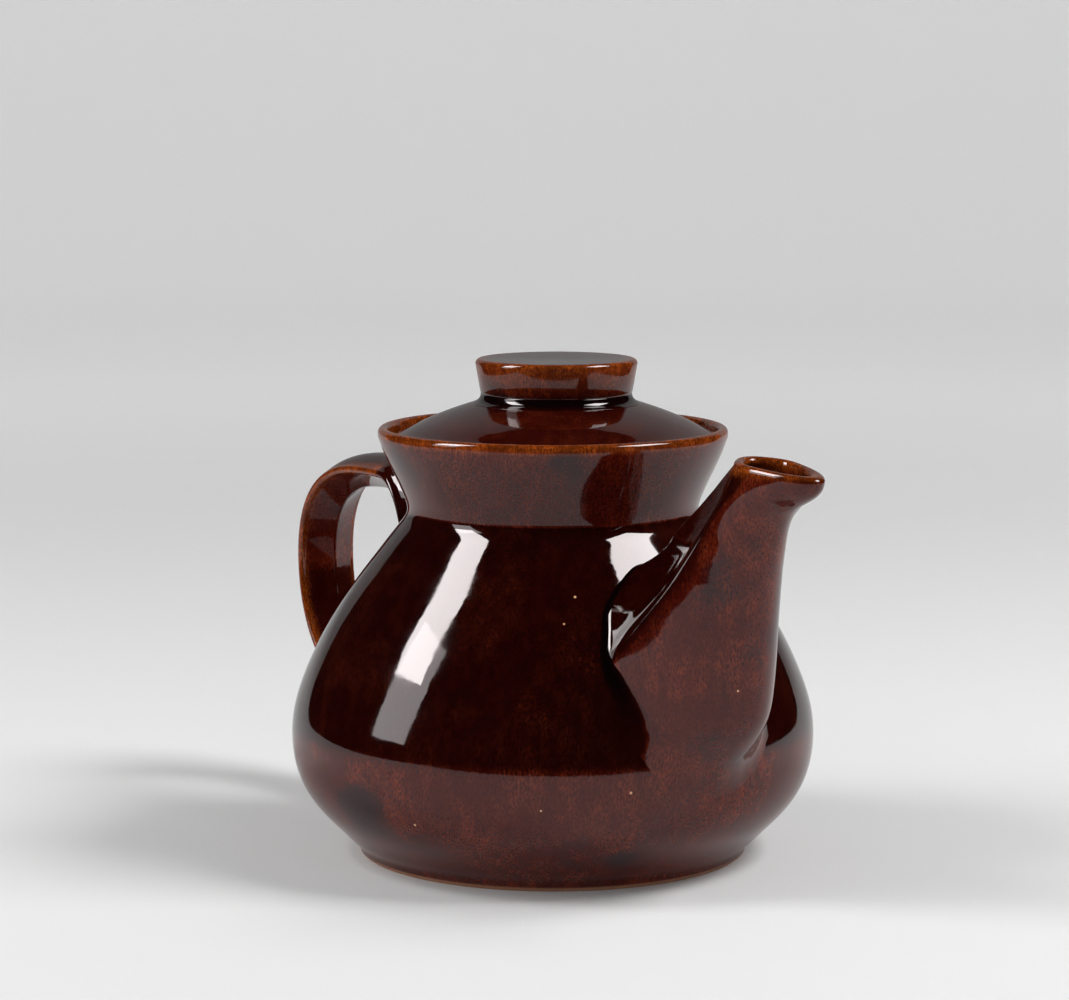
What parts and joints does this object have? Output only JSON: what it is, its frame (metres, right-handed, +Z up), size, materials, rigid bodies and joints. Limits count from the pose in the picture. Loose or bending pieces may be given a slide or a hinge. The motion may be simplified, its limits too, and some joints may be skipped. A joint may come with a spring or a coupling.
{
  "type": "teapot",
  "caption": "Round-bellied glazed clay teapot with flared neck, beaked hollow spout, strap handle opposite and a loose drop-in lid with a flat disc knob.",
  "frame": {"origin": "on the table under the middle of the pot's length, level with the underside of the foot ring; the pot's own upright axis stands 4.85 mm toward +X from it", "axes": "+X from the handle toward the tip of the spout, +Z up, +Y across the pot"},
  "size_m": [0.2468, 0.15, 0.1418],
  "materials": {
    "pot_glaze": "glossy transparent red-brown glaze over red clay",
    "handle_glaze": "glossy red-brown glaze, amber where it thins on the edges",
    "lid_glaze": "glossy red-brown glaze, amber on the rims",
    "slip": "glossy, dark where the glaze has pooled"
  },
  "bodies": {
    "pot": {"pot_body": "pot_glaze", "spout": "pot_glaze", "spout_slip_seam": "slip", "handle": "handle_glaze", "handle_upper_slip_seam": "slip", "handle_lower_slip_seam": "slip"},
    "lid": {"lid": "lid_glaze", "knob_slip_seam": "slip", "lid_knob": "lid_glaze"}
  },
  "joints": [
    {"name": "lid_lift", "type": "slide", "parent": "pot", "child": "lid", "axis": [0, 0, 1], "range_m": [0, 0.06]}
  ]
}
